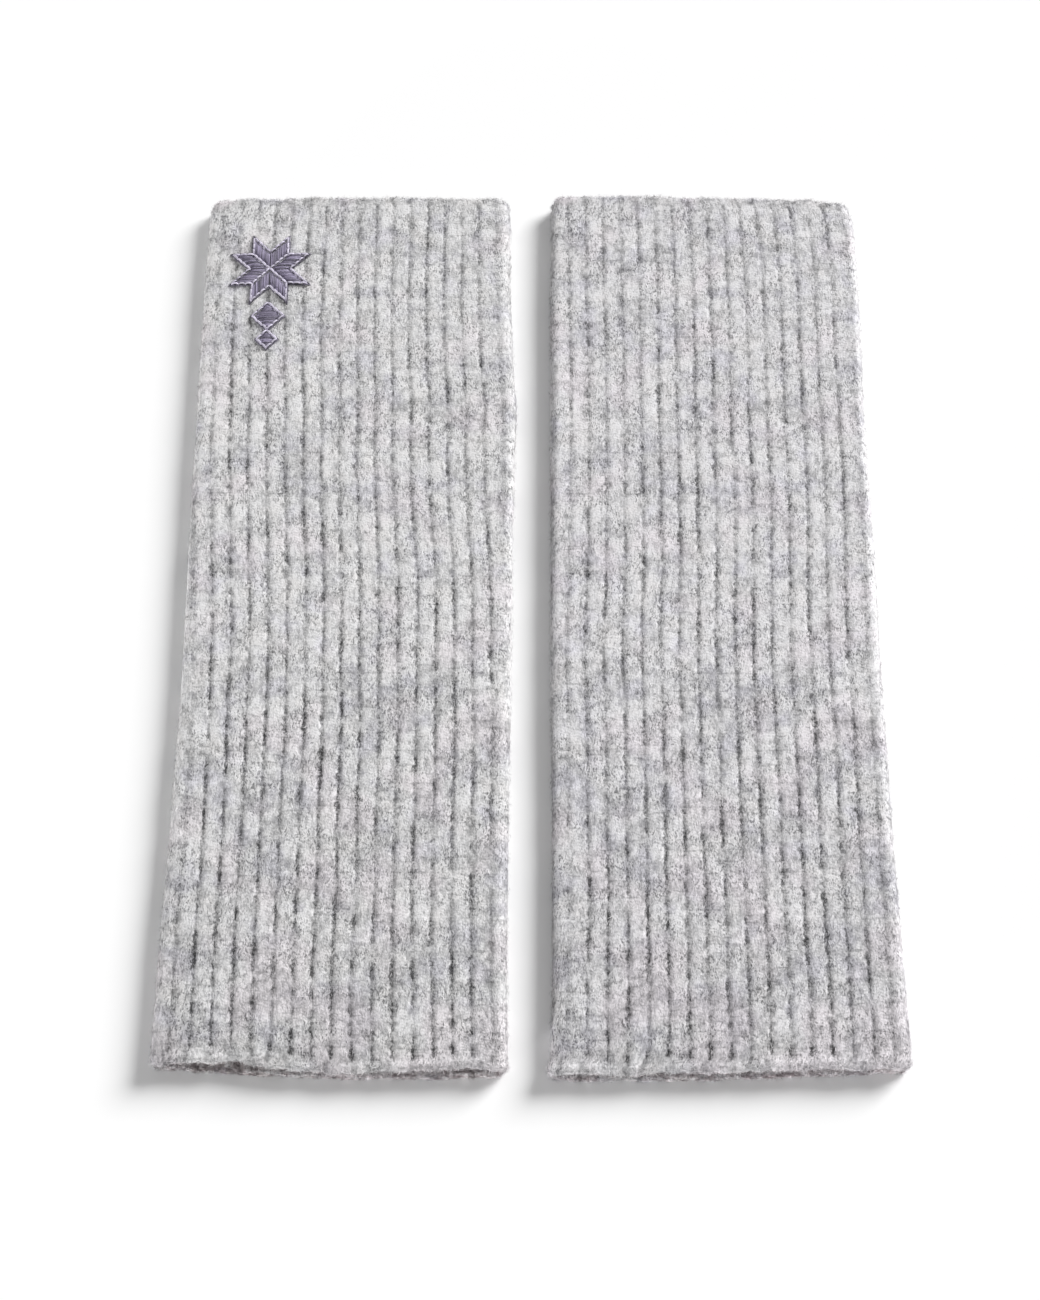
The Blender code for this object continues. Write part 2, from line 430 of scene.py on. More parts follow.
def corner_back(glove, x, along):
    """How far an end lies back at its rounded corners."""
    from_left = x - between(glove.sides, along, "left")
    from_right = between(glove.sides, along, "right") - x
    corner = np.where(from_left < from_right, NEAR_LEFT_CORNER, NEAR_RIGHT_CORNER)
    corner = np.where(is_far(along), FAR_CORNER, corner)
    turned = 1 - (np.minimum(from_left, from_right) - HALF_WALL) / corner
    turned = np.clip(turned, 0.0, CORNER_LIMIT)
    return corner * (1 - np.sqrt(1 - turned ** 2))


def cloth(glove, rib, along, lip):
    """Points on the shell and their outward directions.

    lip is 0 on the outer face, pi on the inner face, and between them it goes
    round the half-round edge of a bound-off end.
    """
    rib, along, lip = np.broadcast_arrays(rib, along, lip)
    x, z, out_x, out_z, across = ring(glove, rib, along)
    out = np.stack([out_x, np.zeros_like(out_x), out_z], axis=-1)
    to_end = np.where(is_far(along), 1.0, -1.0)
    end = np.stack([np.zeros_like(to_end), to_end, np.zeros_like(to_end)], axis=-1)
    way = np.cos(lip)[..., None] * out + np.sin(lip)[..., None] * end
    depth = relief(glove, rib, along) * np.clip(np.cos(lip), 0, 1)
    under = (out_z < 0) & (lip < math.pi / 2)
    depth = np.where(under, np.maximum(depth, 0.0), depth)
    thick = HALF_WALL - depth + noise_on(glove, LIP_LINE, rib, lip) * np.sin(lip)

    share = along / TUBE_LENGTH
    slant = between(glove.mouth, across, "back") * (1 - share)
    slant = slant + glove.far_slant * share * across
    stray = noise_on(glove, SLOW_STRAY, rib, to_end)
    stray = stray + noise_on(glove, QUICK_STRAY, rib, to_end)
    stray = stray - to_end * corner_back(glove, x, along)
    stray = stray * step(end_distance(along), STRAY_REACH, 0.0)
    upper = step(z, FOLD_RADIUS, 2 * FOLD_RADIUS - HALF_WALL)
    back = LIP_BACK * step(np.abs(across), 1.0, LIP_BACK_TO)
    back = back + MOUTH_BACK * between(glove.mouth, across, "open")
    back = back * upper * step(along, MOUTH_REACH, 0.0)
    y = along - TUBE_LENGTH / 2 + slant + stray + back
    points = np.stack([x, y, z], axis=-1) + thick[..., None] * way
    points[..., 2] = np.maximum(points[..., 2], 0.0)
    return points, way


# Where round a lip, in shares of its half circle, it starts to turn into the tube
# and where it has turned in. The lower wall's lip, which shows under the upper one,
# is counted in from its front.
LOWER_TURN = (0.10, 0.50)
UPPER_TURN = (0.30, 0.70)


def inwardness(glove, rib, along, lip):
    """0 on the outer face, and 1 where the cloth has turned into the tube."""
    lower = is_lower(glove, rib, along)
    start, stop = (np.where(lower, *pair) for pair in zip(LOWER_TURN, UPPER_TURN))
    return step(lip / math.pi, start, stop)


def openness(glove, rib, along):
    """How wide the near mouth stands open at a place across the tube."""
    across = ring(glove, rib, along)[4]
    return between(glove.mouth, across, "open")


# How dark the mouths' shadow is: in the near one, how much more where it stands
# open and on the upper lip, and in the far one.
MOUTH_SHADOW = 0.44
OPEN_SHADOW = 0.85
UPPER_SHADOW = 0.20
FAR_SHADOW = 0.50


def tucked(glove, rib, along, lip):
    """How much a place lies in the mouth's shadow, in specks between the loops."""
    shadow = MOUTH_SHADOW + OPEN_SHADOW * openness(glove, rib, along)
    shadow = shadow + np.where(is_lower(glove, rib, along), 0.0, UPPER_SHADOW)
    shadow = np.where(is_far(along), FAR_SHADOW, shadow)
    specks = noise_on(glove, SPECKS, rib, lip)
    return inwardness(glove, rib, along, lip) * shadow * (1 + specks)


# Where the painted shade deep inside the tube begins, past the lips.
DEEP_TURN = (0.45 * math.pi, 0.90 * math.pi)
DEEP_REACH = 7 * MM


def deepness(lip, along):
    """0 on the outer face and at the lips, and 1 well inside the tube."""
    return step(lip, *DEEP_TURN) * step(end_distance(along), HALF_WALL, DEEP_REACH)


def new_mesh(name, points, quads):
    """A mesh from arrays of points and of four corners a face."""
    mesh = bpy.data.meshes.new(name)
    mesh.vertices.add(len(points))
    mesh.vertices.foreach_set("co", np.asarray(points, np.float32).ravel())
    mesh.loops.add(quads.size)
    mesh.loops.foreach_set("vertex_index", np.asarray(quads, np.int32).ravel())
    mesh.polygons.add(len(quads))
    mesh.polygons.foreach_set("loop_start", np.arange(0, quads.size, 4, dtype=np.int32))
    mesh.update(calc_edges=True)
    mesh.shade_smooth()
    return mesh


def set_uv(mesh, name, corners):
    layer = mesh.uv_layers.new(name=name)
    layer.uv.foreach_set("vector", np.asarray(corners, np.float32).ravel())


def set_values(mesh, name, values):
    layer = mesh.attributes.new(name, "FLOAT", "POINT")
    layer.data.foreach_set("value", np.asarray(values, np.float32).ravel())


def new_object(mesh, material):
    """A mesh as an object of the scene, with one material."""
    mesh.materials.append(material)
    made = bpy.data.objects.new(mesh.name, mesh)
    bpy.context.scene.collection.objects.link(made)
    return made


def shell_columns():
    """Rib coordinates of the grid's columns, once round the tube."""
    fine = RIBS_SHOWN + 2  # two ribs more, because the ribs creep round the side
    shown = [rib + place for rib in range(fine) for place in RIB_PLACES]
    under = [rib + place for rib in range(fine, RIBS_ROUND) for place in UNDER_PLACES]
    return np.array(shown + under)


def shell_rows():
    """Each row's place along the tube and its lip angle, once round the wall."""
    start, stop = HALF_WALL, TUBE_LENGTH - HALF_WALL
    bend = np.linspace(0, math.pi, LIP_STEPS + 1)[1:-1]
    along = [np.linspace(start, stop, OUTER_ROWS), np.full(bend.size, stop)]
    along += [np.linspace(stop, start, INNER_ROWS), np.full(bend.size, start)]
    lip = [np.zeros(OUTER_ROWS), bend, np.full(INNER_ROWS, math.pi), bend[::-1]]
    return np.concatenate(along), np.concatenate(lip)


INNER_BAKE_SHARE = 0.12  # the inner face's share of the baking map's height
# How strongly the painted shade in the gaps between a band's loops shows: at the far
# end, and how much more in the near mouth's painted shadow all along it and where it
# stands open.
FAR_GAP_SHADE = 0.2
MOUTH_GAP_SHADE = 0.4
OPEN_GAP_SHADE = 0.8


def make_shell(glove, material):
    """The whole cloth of one glove: a closed grid round the tube and the wall."""
    ribs = shell_columns()
    along, lip = shell_rows()
    grid, lips = (ribs[None, :], along[:, None]), lip[:, None]
    points, _ = cloth(glove, *grid, lips)
    rows, columns = points.shape[:2]
    i, j = np.meshgrid(np.arange(rows), np.arange(columns), indexing="ij")
    i_next, j_next = (i + 1) % rows, (j + 1) % columns
    corners = np.stack([i, i_next, i_next, i], -1), np.stack([j, j, j_next, j_next], -1)
    quads = (corners[0] * columns + corners[1]).reshape(-1, 4)
    mesh = new_mesh(glove.node + "_knit", points.reshape(-1, 3), quads)

    # The map's u counts ribs and its v counts millimetres over the outer face.
    over = along + np.where(is_far(along), 1, -1) * lip * HALF_WALL
    run = np.where(lip < math.pi, over, 2 * TUBE_LENGTH - along) / MM
    ribs_next = np.append(ribs[1:], RIBS_ROUND)
    u = np.stack([ribs[j], ribs[j], ribs_next[j], ribs_next[j]], -1)
    v = np.stack([run[i], run[i_next], run[i_next], run[i]], -1)
    set_uv(mesh, "Knit", np.stack([u, v], -1))
    bake_rows = np.concatenate([
        np.linspace(0, 1 - INNER_BAKE_SHARE, OUTER_ROWS + LIP_STEPS - 1),
        np.linspace(1 - INNER_BAKE_SHARE, 1, INNER_ROWS + LIP_STEPS)[1:],
        [1.0],
    ])
    bake_v = np.stack([bake_rows[i], bake_rows[i + 1], bake_rows[i + 1], bake_rows[i]], -1)
    set_uv(mesh, "OFBake", np.stack([u / RIBS_ROUND, bake_v], -1))

    # How open the grooves are, which the wool's colour turns into painted shade.
    strength = groove_strength(glove, *grid) * ribbed(glove, *grid)
    set_values(mesh, "groove", strength * np.clip(np.cos(lips), 0, 1))
    # Painted shade between the bands' loops, stronger in the mouths' painted shadow.
    more_gap_shade = MOUTH_GAP_SHADE + OPEN_GAP_SHADE * openness(glove, *grid)
    near_gap_shade = 1 + more_gap_shade * inwardness(glove, *grid, lips)
    gaps = np.where(is_far(along)[:, None], FAR_GAP_SHADE, near_gap_shade)
    set_values(mesh, "band", on_band(glove, *grid) * gaps)
    # The mouths' painted shadow: browner and darker where the cloth turns into the tube.
    set_values(mesh, "inside", tucked(glove, *grid, lips))
    # Painted shade deep inside the tube.
    deep = deepness(lip, along)[:, None]
    set_values(mesh, "deep", np.broadcast_to(deep, points.shape[:2]))
    return new_object(mesh, material)


class Shader:
    """A material's nodes, added a call at a time. Each call gives a socket."""

    def __init__(self, name):
        self.material = bpy.data.materials.new(name)
        self.material.use_nodes = True
        self.tree = self.material.node_tree
        self.surface = self.tree.nodes["Principled BSDF"]

    def fill(self, socket, value):
        if isinstance(value, bpy.types.NodeSocket):
            self.tree.links.new(value, socket)
        else:
            socket.default_value = value

    def add(self, kind, values, **settings):
        node = self.tree.nodes.new("ShaderNode" + kind)
        for name, value in settings.items():
            setattr(node, name, value)
        for name, value in values.items():
            self.fill(node.inputs[name], value)
        return node.outputs

    def math(self, operation, *values):
        return self.add("Math", dict(enumerate(values)), operation=operation)[0]

    def vector(self, x, y, z=0.0):
        return self.add("CombineXYZ", {"X": x, "Y": y, "Z": z})[0]

    def noise(self, kind, x, y):
        """One kind of noise at a place."""
        x, y = self.times(x, kind.across), self.times(y, kind.along)
        values = {"Vector": self.vector(x, y, kind.seed), "Scale": 1.0,
                  "Detail": kind.detail, "Roughness": kind.roughness}
        return self.add("TexNoise", values)["Fac"]

    def toned(self, kind, x, y):
        """What one kind of noise gives at a place."""
        return self.ramp(self.noise(kind, x, y), kind.ramp)

    def times(self, value, *factors):
        for factor in factors:
            value = self.math("MULTIPLY", value, factor)
        return value

    def ramp(self, value, kind):
        """What a value gives on a ramp, eased between its two ends."""
        values = {"Value": value, "From Min": kind.low, "From Max": kind.high,
                  "To Min": kind.to_low, "To Max": kind.to_high}
        return self.add("MapRange", values, interpolation_type="SMOOTHSTEP")[0]

    def bump(self, height, strength, distance):
        values = {"Height": height, "Strength": strength, "Distance": distance}
        self.fill(self.surface.inputs["Normal"], self.add("Bump", values)[0])

    def finish(self, values):
        """Fills the surface's own sockets, by name."""
        for name, value in values.items():
            self.fill(self.surface.inputs[name], value)

    def attribute(self, name):
        return self.add("Attribute", {}, attribute_name=name)["Fac"]

    def uv(self, name):
        place = self.add("UVMap", {}, uv_map=name)[0]
        parts = self.add("SeparateXYZ", {"Vector": place})
        return parts["X"], parts["Y"]

    def product(self, first, second):
        return self.add("VectorMath", {0: first, 1: second}, operation="MULTIPLY")[0]

    def scaled(self, colour, amount):
        """A colour times a number."""
        return self.product(colour, self.vector(amount, amount, amount))

    def mixed(self, share, first, second):
        """One vector or colour at 0, another at 1."""
        outputs = self.add("Mix", {0: share, 4: first, 5: second}, data_type="VECTOR")
        return outputs[1]


COOL_DYE = (0.975, 0.968, 1.040)
WARM_DYE = (1.014, 0.997, 0.980)
ROSE_DYE = (1.030, 0.975, 1.005)
PLAIN_DYE = (1.0, 1.0, 1.0)
# The browner tint of the painted shadow in the mouths and inside the tube.
PAINTED_SHADOW_TINT = (1.00, 0.89, 0.89)
RIB_MM = PITCH / MM

# A ramp: the two values between which it runs, and what it gives at them.
Ramp = namedtuple("Ramp", "low high to_low to_high", defaults=(0.0, 1.0))

# Noise in the wool's tone and colour: how many features to a millimetre (or to a
# rib) across and to a millimetre along, how detailed and rough it is, and its ramp.
Noise = namedtuple("Noise", "across along seed detail roughness ramp")
TUFTS = Noise(7.31, 0.29, 1.7, 1.5, 0.5, Ramp(0.36, 0.66, -0.06, 0.19))
PATCHES = Noise(0.075, 0.095, 8.4, 2.5, 0.55, Ramp(0.30, 0.70, 0.87, 1.12))
MOTTLES = Noise(0.55, 0.30, 5.5, 2.0, 0.6, Ramp(0.26, 0.74, 0.86, 1.13))
DASHES = Noise(0.19, 0.95, 3.9, 1.0, 0.5, Ramp(0.58, 0.74, 1.0, 0.72))
LEANS = Noise(0.7, 0.4, 5.2, 1.0, 0.5, None)
STREAKS = Noise(2.0, 0.62, 2.6, 2.5, 0.70, Ramp(0.28, 0.72, 0.73, 1.25))
FLECKS = Noise(2.6, 1.1, 12.4, 1.0, 0.5, Ramp(0.56, 0.74, 1.0, 1.18))
PEPPER = Noise(2.9, 1.25, 6.6, 1.0, 0.5, Ramp(0.50, 0.66))
CLUSTERS = Noise(0.17, 0.15, 14.8, 1.0, 0.5, Ramp(0.40, 0.64, 0.20, 0.62))
CLUMPS = Noise(0.42, 0.36, 17.7, 1.5, 0.6, Ramp(0.50, 0.68, 0.0, 0.36))
TINTS = Noise(0.13, 0.12, 9.1, 2.0, 0.5, None)
ROSES = Noise(0.08, 0.07, 21.3, 1.5, 0.5, None)
# The grooves' dark lines of painted shade, in ribs, and the painted shade in the
# gaps between the bands' loops.
LINE_STRAYS = Noise(5.13, 0.45, 31.1, 1.0, 0.5, Ramp(0.2, 0.8, -0.045, 0.045))
LINE_FRAYS = Noise(1.3, 0.95, 33.3, 1.5, 0.5, Ramp(0.2, 0.8, -0.065, 0.065))
LINE_WIDTHS = Noise(3.71, 0.38, 35.7, 1.0, 0.5, Ramp(0.3, 0.7, 0.070, 0.150))
LINE_BREAKS = Noise(1.9, 1.2, 4.4, 2.0, 0.65, Ramp(0.30, 0.66, 0.34, 1.48))
LINE_EDGE = Ramp(0.0, 1.6, 1.0, 0.0)
LINE_PAINTED_SHADE = Ramp(0.0, 1.30, 1.0, 0.20)
LOOPS = Noise(0.75, 0.9, 41.9, 1.5, 0.6, Ramp(0.52, 0.68, 0.0, 0.42))

# By ribs from a rib's crest, and by millimetres from the near end.
CREST = Ramp(0.10, 0.46, 1.0, 0.0)
FLANK = Ramp(0.12, 0.40, 0.05, 1.0)
# Painted light on the ribs' crests and painted shade on their flanks.
RIB_PAINTED_SHADING = Ramp(0.02, 0.32, 1.05, 0.95)
# Painted light: the knit is drawn darker at the near end and lighter towards the far one.
LENGTH_PAINTED_LIGHT = Ramp(0.0, 150.0, 0.885, 1.045)
LENGTH_ROSE = Ramp(0.0, 90.0, 0.13, 0.0)
# The shares of the dyes, by patch, by how dark the wool is and by noise.
PATCH_TINT = Ramp(0.30, 0.70, -0.12, 0.12)
DARK_TINT = Ramp(0.20, 1.20, 0.12, -0.04)
COOL_SHARE = Ramp(0.50, 0.76, 0.0, 0.68)
WARM_SHARE = Ramp(0.48, 0.26, 0.0, 0.60)
ROSE_SHARE = Ramp(0.50, 0.72, 0.0, 0.62)
# By the shell's own values: the painted shadow in the mouths and inside the tube, and
# the painted shade deep inside it.
PAINTED_SHADOW_SHARE = Ramp(0.15, 1.00)
PAINTED_SHADOW_TONE = Ramp(0.42, 0.95, 1.0, 0.42)
DEEP_PAINTED_SHADE = Ramp(0.0, 1.0, 1.0, 0.42)

TUFT_ROUNDNESS = 2.4
LEAN = 1.2  # how far streaks, flecks and pepper lean sideways, in millimetres
TONE_LIMIT = 1.18
LIMIT_SOFTNESS = 0.30
# The painted line lies a little right of its groove, on the groove's shaded wall.
LINE_SHIFT = 0.010  # how far right of its groove a line lies, in ribs
# Painted light: the bound-off bands are drawn paler on their loops.
LIP_PAINTED_LIGHT = 0.10  # how much paler the bound-off bands are


def heather(shader, rib, along):
    """How light the heather yarn is drawn at a place on the knit, its streaks and patches,
    with painted shading.
    """
    number = shader.math("FLOOR", rib)
    across = shader.times(rib, RIB_MM)
    off_crest = shader.math("SUBTRACT", shader.math("FRACT", rib), 0.5)
    off_crest = shader.math("ABSOLUTE", off_crest)
    rounded = shader.math("ADD", along, shader.times(off_crest, TUFT_ROUNDNESS))
    tuft = shader.times(shader.ramp(off_crest, CREST), shader.toned(TUFTS, number, rounded))
    clump = shader.times(shader.ramp(off_crest, FLANK), shader.toned(CLUMPS, across, along))
    lean = shader.times(shader.noise(LEANS, across, along), LEAN)
    leaning = shader.math("ADD", across, lean)
    patch = shader.noise(PATCHES, across, along)
    streak = shader.noise(STREAKS, leaning, along)
    pepper = shader.times(shader.toned(CLUSTERS, across, along),
                          shader.toned(PEPPER, leaning, along))

    amount = shader.math("ADD", shader.ramp(off_crest, RIB_PAINTED_SHADING), tuft)
    amount = shader.times(
        shader.math("SUBTRACT", amount, clump),
        shader.ramp(along, LENGTH_PAINTED_LIGHT),
        shader.ramp(patch, PATCHES.ramp),
        shader.toned(MOTTLES, across, along),
        shader.toned(DASHES, across, along),
        shader.ramp(streak, STREAKS.ramp),
        shader.toned(FLECKS, leaning, along),
        shader.math("SUBTRACT", 1.0, pepper),
    )
    amount = shader.math("SMOOTH_MIN", amount, TONE_LIMIT, LIMIT_SOFTNESS)
    return amount, streak, patch


def dyed(shader, wool, rib, along, amount, patch):
    """The wool's colour: bluer where it is dark, browner and darker in the painted shadow
    inside the tube.
    """
    across = shader.times(rib, RIB_MM)
    tint = shader.noise(TINTS, across, along)
    tint = shader.math("SUBTRACT", tint, shader.ramp(patch, PATCH_TINT))
    tint = shader.math("ADD", tint, shader.ramp(amount, DARK_TINT))
    dye = shader.mixed(shader.ramp(tint, COOL_SHARE), PLAIN_DYE, COOL_DYE)
    dye = shader.mixed(shader.ramp(tint, WARM_SHARE), dye, WARM_DYE)
    rose = shader.noise(ROSES, across, along)
    rose = shader.math("ADD", rose, shader.ramp(along, LENGTH_ROSE))
    dye = shader.mixed(shader.ramp(rose, ROSE_SHARE), dye, ROSE_DYE)
    # The mouths' painted shadow: a browner tint and a darker tone.
    inside = shader.attribute("inside")
    tinted = shader.product(dye, PAINTED_SHADOW_TINT)
    dye = shader.mixed(shader.ramp(inside, PAINTED_SHADOW_SHARE), dye, tinted)
    amount = shader.times(amount, shader.ramp(inside, PAINTED_SHADOW_TONE))
    return shader.scaled(shader.product(dye, wool), amount)


def groove_shade(shader, rib, along):
    """Painted shade in the grooves: ragged dark lines that stray and vary in width."""
    number = shader.math("ROUND", rib)
    across = shader.times(rib, RIB_MM)
    astray = shader.math("ADD", shader.toned(LINE_STRAYS, number, along),
                         shader.toned(LINE_FRAYS, across, along))
    away = shader.math("ADD", shader.math("SUBTRACT", rib, number), LINE_SHIFT)
    away = shader.math("ABSOLUTE", shader.math("ADD", away, astray))
    away = shader.math("DIVIDE", away, shader.toned(LINE_WIDTHS, number, along))
    depth = shader.times(shader.attribute("groove"),
                         shader.toned(LINE_BREAKS, across, along))
    return shader.ramp(shader.times(shader.ramp(away, LINE_EDGE), depth), LINE_PAINTED_SHADE)


def band_shade(shader, rib, along):
    """Painted shade in the gaps between the loops of the bound-off bands, and painted light
    on the loops.
    """
    loops = shader.toned(LOOPS, shader.times(rib, RIB_MM), along)
    gaps = shader.math("SUBTRACT", loops, LIP_PAINTED_LIGHT)
    return shader.math("SUBTRACT", 1.0, shader.times(shader.attribute("band"), gaps))


WOOL_FINISH = {"Roughness": 0.92, "Specular IOR Level": 0.25,
               "Sheen Weight": 0.10, "Sheen Roughness": 0.5}
FIBRE_FINISH = {"Roughness": 0.8, "Specular IOR Level": 0.3, "Sheen Weight": 0.1}
FIBRE_CONTRAST = 0.6  # of the heather's, since each fibre varies by itself too
COURSE = 0.85  # a knitted course's height, in millimetres
LEG_CLIMB = 1.3  # how steeply the legs of its V climb
STITCH_HEIGHT = 0.10
STREAK_HEIGHT = 1.3
WOOL_BUMP = {"strength": 0.55, "distance": 0.22 * MM}


def wool_material(name, wool):
    """Fulled heather wool: painted shade in broken grooves, soft columns, fine fibre
    streaks.
    """
    shader = Shader(name)
    rib, along = shader.uv("Knit")
    amount, streak, patch = heather(shader, rib, along)
    amount = shader.times(
        amount,
        groove_shade(shader, rib, along),
        band_shade(shader, rib, along),
        shader.ramp(shader.attribute("deep"), DEEP_PAINTED_SHADE),
    )
    shader.finish({"Base Color": dyed(shader, wool, rib, along, amount, patch)})
    shader.finish(WOOL_FINISH)

    # Each wale's legs make a fine V in every course, half hidden by the nap.
    leg = shader.math("PINGPONG", shader.times(rib, 2.0), 0.5)
    climb = shader.math("ADD", shader.math("DIVIDE", along, COURSE),
                        shader.times(leg, LEG_CLIMB))
    stitch = shader.math("SINE", shader.times(climb, 2 * math.pi))
    height = shader.math("ADD", shader.times(stitch, STITCH_HEIGHT),
                         shader.times(streak, STREAK_HEIGHT))
    shader.bump(height, **WOOL_BUMP)
    return shader.material


def fibre_material(name, wool, tones):
    """The same wool, fibre by fibre, each a little paler or darker."""
    shader = Shader(name)
    rib, along = shader.uv("Knit")
    amount, _, patch = heather(shader, rib, along)
    tone = shader.ramp(shader.attribute("tone"), Ramp(0.0, 1.0, *tones))
    amount = shader.times(shader.math("POWER", amount, FIBRE_CONTRAST), tone)
    shader.finish({"Base Color": dyed(shader, wool, rib, along, amount, patch)})
    shader.finish(FIBRE_FINISH)
    return shader.material


FuzzKind = namedtuple("FuzzKind", "name count longest width lift spread tones seed")
FUZZ = (
    FuzzKind("locks", 18000, 1.7 * MM, 0.17 * MM, 0.10, 0.35, (0.52, 1.26), 1),
    FuzzKind("nap", 24000, 1.5 * MM, 0.065 * MM, 0.30, 0.50, (0.60, 1.30), 2),
    FuzzKind("hairs", 22000, 2.3 * MM, 0.050 * MM, 0.40, 0.80, (0.38, 1.20), 3),
)
FUZZ_SEED = 50
SIDE_MARGIN = 0.25  # ribs from the floor to the lowest fibres
LIP_SHARE = 0.19  # of the fibres, those that stand on the bound-off lips
NEAR_LIP_SHARE = 0.65  # and of these, those on the near one
LIP_TURN = 0.85 * math.pi  # how far round a lip they stand
LOWER_LIP_FROM = 0.35 * math.pi  # and from where on the lower wall's
SIDE_FADE = (2.2, 0.8)  # fibres stand off more between these places, in ribs
SHORTEST_FIBRE = 0.35  # of the longest
LOWER_LIP_LENGTH = 0.65  # and how much shorter they are on the lower wall's lip
FIBRE_BEND = 0.55
FIBRE_ROLL = 0.5
LIFT_SPREAD = 0.20
EDGE_LIFT = 0.30  # how much more the fibres on lips and sides are raised
FIBRE_DROOP = 1.1  # the share of its rise that a fibre loses in its second half
ROOT_DEPTH = 0.08 * MM
FIBRE_TAPER = (1.0, 0.85, 0.35)
FIBRE_POINTS = len(FIBRE_TAPER)
# The tone of the fibres on the lips, which lie in pale and dark tufts: paler on the
# whole as painted light, and darker in the mouths' painted shadow.
LIP_TONE = 0.08
LIP_OWN_TONE = 0.65
LIP_TUFT_TONE = 0.60
LIP_PAINTED_SHADOW = 0.30
LIP_TONE_LIMIT = 1.1


def fibre_roots(rng, glove, count):
    """Where fibres stand in the cloth, and which stand on a lip or near a side."""
    place = rng.uniform(SIDE_MARGIN, RIBS_SHOWN - SIDE_MARGIN, count)
    along = rng.uniform(HALF_WALL, TUBE_LENGTH - HALF_WALL, count)
    on_lip = rng.uniform(size=count) < LIP_SHARE
    near = rng.uniform(size=count) < NEAR_LIP_SHARE
    along = np.where(on_lip, np.where(near, HALF_WALL, TUBE_LENGTH - HALF_WALL), along)
    lip = np.where(on_lip, rng.uniform(0.0, LIP_TURN, count), 0.0)
    place = np.where(on_lip & near, rng.uniform(0.0, RIBS_ROUND, count), place)
    lower_lip = rng.uniform(LOWER_LIP_FROM, math.pi, count)
    lip = np.where(place > RIBS_SHOWN, lower_lip, lip)
    at_side = step(np.minimum(place, np.abs(RIBS_SHOWN - place)), *SIDE_FADE)
    return rib_at(glove, place, along), along, lip, on_lip, at_side


def make_fuzz(glove, kind, material):
    """Loose fibres: narrow ribbons of two lengths, rooted in the cloth."""
    rng = np.random.default_rng(glove.seed + FUZZ_SEED + kind.seed)
    rib, along, lip, on_lip, at_side = fibre_roots(rng, glove, kind.count)
    root, out = cloth(glove, rib, along, lip)
    if glove is LEFT:
        bare = ~in_motif(root[:, 0], root[:, 1]) | (root[:, 2] < FOLD_RADIUS)
        rib, along, lip, root, out = (part[bare] for part in (rib, along, lip, root, out))
        on_lip, at_side = on_lip[bare], at_side[bare]
    count = len(rib)

    length = kind.longest * rng.uniform(SHORTEST_FIBRE, 1.0, count)
    on_lower_lip = on_lip & is_lower(glove, rib, along)
    length = length * np.where(on_lower_lip, LOWER_LIP_LENGTH, 1.0)
    heading = rng.normal(0.0, kind.spread, count)
    heading = heading + math.pi * (rng.uniform(size=count) < 0.5)
    heading = np.where(on_lip, rng.uniform(0.0, 2 * math.pi, count), heading)
    bend = rng.normal(0.0, FIBRE_BEND, count)
    lift = np.abs(rng.normal(kind.lift, LIFT_SPREAD, count))
    lift = lift + EDGE_LIFT * np.maximum(on_lip, at_side)
    roll = rng.normal(0.0, FIBRE_ROLL, count)
    along_way = np.where(on_lip[:, None], [1.0, 0.0, 0.0], [0.0, 1.0, 0.0])
    side_way = np.cross(out, along_way)
    side_way /= np.linalg.norm(side_way, axis=1)[:, None]
    along_way = np.cross(side_way, out)

    line = [root - ROOT_DEPTH * out]
    ways = []
    for k in range(FIBRE_POINTS - 1):
        turn = heading + bend * k
        rise = lift * (1 - FIBRE_DROOP * k)
        flat = np.cos(turn)[:, None] * along_way + np.sin(turn)[:, None] * side_way
        way = np.cos(rise)[:, None] * flat + np.sin(rise)[:, None] * out
        line.append(line[-1] + (length / (FIBRE_POINTS - 1))[:, None] * way)
        ways.append(way)
    ways.append(ways[-1])

    points = []
    for middle, way, taper in zip(line, ways, FIBRE_TAPER):
        beside = np.cross(way, out)
        beside /= np.linalg.norm(beside, axis=1)[:, None]
        beside = np.cos(roll)[:, None] * beside + np.sin(roll)[:, None] * out
        half = kind.width / 2 * taper
        points += [middle - half * beside, middle + half * beside]
    points = np.stack(points, axis=1)
    points[..., 2] = np.maximum(points[..., 2], 0.0)
    first = np.arange(count)[:, None] * (2 * FIBRE_POINTS)
    quads = np.concatenate([first + [0, 1, 3, 2], first + [2, 3, 5, 4]])
    mesh = new_mesh(f"{glove.node}_{kind.name}", points.reshape(-1, 3), quads)
    corners = np.stack([rib, along / MM], -1)[:, None, :].repeat(4, axis=1)
    set_uv(mesh, "Knit", np.concatenate([corners, corners]))

    # Lip fibres: tufts, painted light on the whole, and the mouths' painted shadow.
    tufts = 0.5 + noise_on(glove, LIP_TUFTS, rib, lip)
    tone = rng.uniform(size=count)
    inside = tucked(glove, rib, along, lip)
    lip_tone = LIP_TONE + LIP_OWN_TONE * tone + LIP_TUFT_TONE * tufts
    lip_tone = np.clip(lip_tone - LIP_PAINTED_SHADOW * inside, 0.0, LIP_TONE_LIMIT)
    tone = np.where(on_lip, lip_tone, tone)
    set_values(mesh, "tone", tone.repeat(2 * FIBRE_POINTS))
    # The mouths' painted shadow, in the fibres' colour too.
    set_values(mesh, "inside", inside.repeat(2 * FIBRE_POINTS))
    return new_object(mesh, material)


